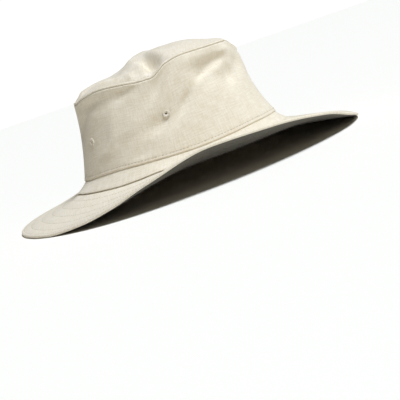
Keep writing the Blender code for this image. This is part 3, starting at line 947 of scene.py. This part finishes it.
def make_brim_under():
    """The brim's lower layer: dark cotton that starts inside the turned edge."""
    size = sizes()
    angle = column_angles()
    line = brim_lines(angle)
    depth = size.brim_top_cloth + size.layer_gap
    rings = []
    for distance in brim_rows(UNDER_BRIM_START):
        relief = quilt_relief(angle, distance, line.run) * UNDER_BRIM_PUFF - depth
        rings.append(brim_from_edge(line, distance, relief))
    cloth = bend_grid(rings + tucked_brim(angle, line, depth, UNDER_BRIM_PUFF))
    finish_panel("brim_under", cloth, under_brim_material(),
                 size.brim_under_cloth)


def sew_stitches(name, points, outward, material):
    """Stitches along a closed line of points, lying on the cloth that their normals leave."""
    steps = np.linalg.norm(np.diff(points, axis=0), axis=1)
    travelled = np.concatenate(([0.0], np.cumsum(steps)))
    count = int(travelled[-1] / STITCH_PITCH)
    pitch = travelled[-1] / count
    row = bmesh.new()
    shape = (Matrix.Diagonal((STITCH_LENGTH / 2, STITCH_WIDTH / 2, STITCH_WIDTH / 2, 1))
             @ Matrix.Rotation(math.radians(90), 4, "Y"))
    bmesh.ops.create_uvsphere(row, u_segments=STITCH_SIDES, v_segments=STITCH_RINGS, radius=1.0,
                              matrix=Matrix.Translation((pitch / 2, 0, 0)) @ shape)
    bmesh.ops.spin(row, geom=row.verts[:] + row.edges[:] + row.faces[:], cent=(0, 0, 0),
                   axis=(0, 0, 1), dvec=(pitch, 0, 0), angle=0.0, steps=count - 1,
                   use_duplicate=True)
    flat = np.array([vertex.co for vertex in row.verts])
    tangents = np.gradient(points, travelled, axis=0)

    def along_line(values):
        return np.stack([np.interp(flat[:, 0], travelled, values[:, axis]) for axis in range(3)],
                        axis=-1)
    up = unit(along_line(outward))
    side = unit(np.cross(up, along_line(tangents)))
    bent = along_line(points) + side * flat[:, 1:2] + up * flat[:, 2:3]
    for vertex, place in zip(row.verts, bent):
        vertex.co = place
    finish_piece(name, row, material)


def sew_brim():
    """Sew the brim's rows, with pale thread on top and dark thread below."""
    thread = thread_material("sewing_thread_spun", colours().thread, roughness=0.8)
    dark = thread_material("under_thread_spun", colours().under_thread, roughness=0.8)
    line = brim_lines(column_angles())
    for number, distance in enumerate(BRIM_STITCH_ROWS, 1):
        upward = brim_upward(line, distance)
        on_top = brim_from_edge(line, distance, 0.0)
        below = brim_from_edge(line, distance, -brim_thickness())
        sew_stitches("brim_stitches_%d" % number, on_top, upward, thread)
        sew_stitches("under_stitches_%d" % number, below, -upward, dark)


def sew_crown():
    """Sew the row over the wall's foot and the row round the tip."""
    thread = thread_material("crown_thread_spun", colours().thread, roughness=0.8)
    angle = column_angles()
    share = WALL_STITCH_ROW / sizes().wall_height
    sew_stitches("wall_stitches", wall_point(angle, share), wall_normal(angle, share), thread)
    outward = normals(tip_from_seam, angle, TIP_STITCH_ROW, TIP_SLOPE_STEP)
    sew_stitches("tip_stitches", tip_from_seam(angle, TIP_STITCH_ROW), outward, thread)


def eyelet_frame(eyelet):
    """Where an eyelet sits: its middle on the outside of the wall, its Z axis outwards."""
    angle = np.array([math.radians(eyelet.angle)])
    outward = wall_normal(angle, eyelet.height)
    depth = soft_folds(angle, eyelet.height)[:, None]
    middle = wall_point(angle, eyelet.height) - outward * depth
    turn = Vector(outward[0]).to_track_quat("Z", "Y")
    return Matrix.Translation(middle[0]) @ turn.to_matrix().to_4x4()


# Satin stitches of an eyelet: how many lie round it, how much of its round they fill at the rim,
# how thin they are drawn at its middle, how many faces one has round it, and how far in the ring's
# inner end lies; and the path of one, as place from the hole to the rim and height over the
# cloth, as shares of the ring's width and thickness
EYELET_THREADS = 34
EYELET_FILL = 0.95
EYELET_THINNING = 0.42
EYELET_THREAD_SIDES = 6
EYELET_INSET = 0.08
EYELET_THICKNESS = 0.0007
EYELET_PATH = table(
    "place height",
    (-0.20, -1.70), (-0.24, -0.50), (-0.02, 0.45), (0.25, 0.95),
    (0.60, 0.95), (0.90, 0.45), (1.02, -0.35),
)


def make_eyelet(eyelet, material):
    """Satin-stitched ring round a vent hole, each thread laid from the hole out to the rim."""
    size = sizes()
    thread_radius = math.pi * size.eyelet_radius / EYELET_THREADS * EYELET_FILL
    ring = bmesh.new()
    previous = []
    for row in EYELET_PATH:
        radius = mix(size.eyelet_hole_radius, size.eyelet_radius,
                     mix(EYELET_INSET, 1.0, row.place))
        thinning = mix(EYELET_THINNING, 1.0, min(max(radius / size.eyelet_radius, 0), 1))
        disc = bmesh.ops.create_circle(
            ring, cap_ends=not previous or row is EYELET_PATH[-1], segments=EYELET_THREAD_SIDES,
            radius=thread_radius * thinning,
            matrix=Matrix.Translation((radius, 0, EYELET_THICKNESS * row.height))
            @ Matrix.Rotation(math.radians(90), 4, "Y"))
        loop = list({e for v in disc["verts"] for e in v.link_edges})
        if previous:
            bmesh.ops.bridge_loops(ring, edges=previous + loop)
        previous = loop
    bmesh.ops.spin(ring, geom=ring.verts[:] + ring.edges[:] + ring.faces[:], cent=(0, 0, 0),
                   axis=(0, 0, 1), angle=2 * math.pi * (1 - 1 / EYELET_THREADS),
                   steps=EYELET_THREADS - 1, use_duplicate=True)
    bmesh.ops.recalc_face_normals(ring, faces=ring.faces[:])
    bmesh.ops.transform(ring, matrix=eyelet_frame(eyelet), verts=ring.verts[:])
    finish_piece(eyelet.name + "_threads", ring, material, [eyelet.name])


# The camera: its place in metres, its axes in the hat's frame, and its focal length in pixels
# of the photograph, which with the photograph's width and the sensor's gives its lens
CAMERA_PLACE = (0.0301, -0.8957, 0.1177)
CAMERA_LOOK = (-0.0324, 0.9862, -0.1621)
CAMERA_UP = (0.3273, 0.1637, 0.9306)
CAMERA_FOCAL_PIXELS = 904.4
PHOTO_PIXELS = 400
SENSOR_WIDTH = 36.0

# Lights: the direction that each comes from, its strength, its softness in degrees and its
# colour; the dim warm light that comes from all round; and the white that only the camera sees
LIGHTS = table(
    "name direction strength softness colour",
    ("overhead_light", (0.37, -0.28, 0.885), 3.34, 18, (0.945, 1.00, 1.085)),
    ("near_light", (0.10, -0.95, 0.30), 0.20, 40, (1.20, 1.00, 0.80)),
)
SKY_STRENGTH = 0.09
SKY_COLOUR = (1.0, 0.93, 0.82, 1)
BACKDROP_STRENGTH = 1.05
FLOOR_HALF_WIDTH = 6.0


def lay_floor():
    """A plain floor, painted: matt, so that it shows the hat's shade and no gloss."""
    floor = bmesh.new()
    bmesh.ops.create_grid(floor, x_segments=1, y_segments=1, size=FLOOR_HALF_WIDTH)
    material, tree = new_material("pale_floor_painted")
    surface = add_node(tree, "ShaderNodeBsdfPrincipled",
                       {"Base Color": (*colours().floor, 1), "Roughness": 0.9,
                        "Specular IOR Level": 0.1})
    add_node(tree, "ShaderNodeOutputMaterial", {"Surface": surface.outputs["BSDF"]})
    add_object("floor", floor, material)


def hang_lights():
    """Set up the lights, and a world that is dim for the hat and white for the camera."""
    for light in LIGHTS:
        lamp = bpy.data.lights.new(light.name, "SUN")
        lamp.energy = light.strength
        lamp.angle = math.radians(light.softness)
        lamp.color = light.colour
        holder = bpy.data.objects.new(light.name, lamp)
        holder.rotation_mode = "QUATERNION"
        holder.rotation_quaternion = Vector(light.direction).to_track_quat("Z", "Y")
        bpy.context.scene.collection.objects.link(holder)
    world = bpy.data.worlds.new("studio")
    bpy.context.scene.world = world
    world.use_nodes = True
    tree = world.node_tree
    tree.nodes.clear()
    seen = add_node(tree, "ShaderNodeLightPath").outputs["Is Camera Ray"]
    sky = add_node(tree, "ShaderNodeBackground", {"Color": SKY_COLOUR, "Strength": SKY_STRENGTH})
    backdrop = add_node(tree, "ShaderNodeBackground",
                        {"Color": (1, 1, 1, 1), "Strength": BACKDROP_STRENGTH})
    both = add_node(tree, "ShaderNodeMixShader",
                    {0: seen, 1: sky.outputs[0], 2: backdrop.outputs[0]})
    add_node(tree, "ShaderNodeOutputWorld", {"Surface": both.outputs[0]})


def set_up_camera():
    """Set the camera where the photograph was taken from."""
    scene = bpy.context.scene
    lens = bpy.data.cameras.new("camera")
    lens.sensor_width = SENSOR_WIDTH
    lens.lens = SENSOR_WIDTH * CAMERA_FOCAL_PIXELS / PHOTO_PIXELS
    camera = bpy.data.objects.new("camera", lens)
    look = Vector(CAMERA_LOOK).normalized()
    right = look.cross(Vector(CAMERA_UP)).normalized()
    turn = Matrix((right, right.cross(look), -look)).transposed().to_4x4()
    camera.matrix_world = Matrix.Translation(CAMERA_PLACE) @ turn
    scene.collection.objects.link(camera)
    scene.camera = camera
    scene.view_settings.view_transform = "Standard"


class HAT_OT_crown_wall(bpy.types.Operator):
    """Make the wall of the crown"""

    bl_idname = "hat.crown_wall"
    bl_label = "Crown wall"

    def execute(self, context):
        make_crown_wall()
        return {"FINISHED"}


class HAT_OT_crown_tip(bpy.types.Operator):
    """Make the tip of the crown"""

    bl_idname = "hat.crown_tip"
    bl_label = "Crown tip"

    def execute(self, context):
        make_crown_tip()
        return {"FINISHED"}


class HAT_OT_band(bpy.types.Operator):
    """Make the band between crown and brim"""

    bl_idname = "hat.band"
    bl_label = "Band"

    def execute(self, context):
        make_hat_band()
        return {"FINISHED"}


class HAT_OT_brim(bpy.types.Operator):
    """Make the two layers of the brim"""

    bl_idname = "hat.brim"
    bl_label = "Brim"

    def execute(self, context):
        make_brim_top()
        make_brim_under()
        return {"FINISHED"}


class HAT_OT_stitches(bpy.types.Operator):
    """Sew the rows of stitches on brim, wall and tip"""

    bl_idname = "hat.stitches"
    bl_label = "Stitches"

    def execute(self, context):
        sew_brim()
        sew_crown()
        return {"FINISHED"}


class HAT_OT_eyelets(bpy.types.Operator):
    """Embroider the eyelets in the wall"""

    bl_idname = "hat.eyelets"
    bl_label = "Eyelets"

    def execute(self, context):
        thread = thread_material("embroidery_thread_spun", colours().eyelet_thread,
                                 roughness=0.65)
        for eyelet in EYELETS:
            make_eyelet(eyelet, thread)
        return {"FINISHED"}


class HAT_OT_stage(bpy.types.Operator):
    """Set up the floor, the lights and the camera"""

    bl_idname = "hat.stage"
    bl_label = "Stage"

    def execute(self, context):
        lay_floor()
        hang_lights()
        set_up_camera()
        return {"FINISHED"}


class HAT_PT_panel(bpy.types.Panel):
    """Lists the steps that build the hat"""

    bl_idname = "HAT_PT_panel"
    bl_label = "Cricket hat"
    bl_space_type = "VIEW_3D"
    bl_region_type = "UI"
    bl_category = "Hat"

    def draw(self, context):
        for step in STEPS:
            self.layout.operator(step.bl_idname)


STEPS = (HAT_OT_stage, HAT_OT_crown_wall, HAT_OT_crown_tip, HAT_OT_band, HAT_OT_brim,
         HAT_OT_stitches, HAT_OT_eyelets)


def register():
    for kind in (HatSizes, HatColours, *STEPS, HAT_PT_panel):
        bpy.utils.register_class(kind)
    bpy.types.Scene.hat_sizes = PointerProperty(type=HatSizes)
    bpy.types.Scene.hat_colours = PointerProperty(type=HatColours)


def unregister():
    del bpy.types.Scene.hat_colours
    del bpy.types.Scene.hat_sizes
    for kind in reversed((HatSizes, HatColours, *STEPS, HAT_PT_panel)):
        bpy.utils.unregister_class(kind)


def main():
    register()
    bpy.ops.hat.stage()
    bpy.ops.hat.crown_wall()
    bpy.ops.hat.crown_tip()
    bpy.ops.hat.band()
    bpy.ops.hat.brim()
    bpy.ops.hat.stitches()
    bpy.ops.hat.eyelets()


if __name__ == "__main__":
    main()
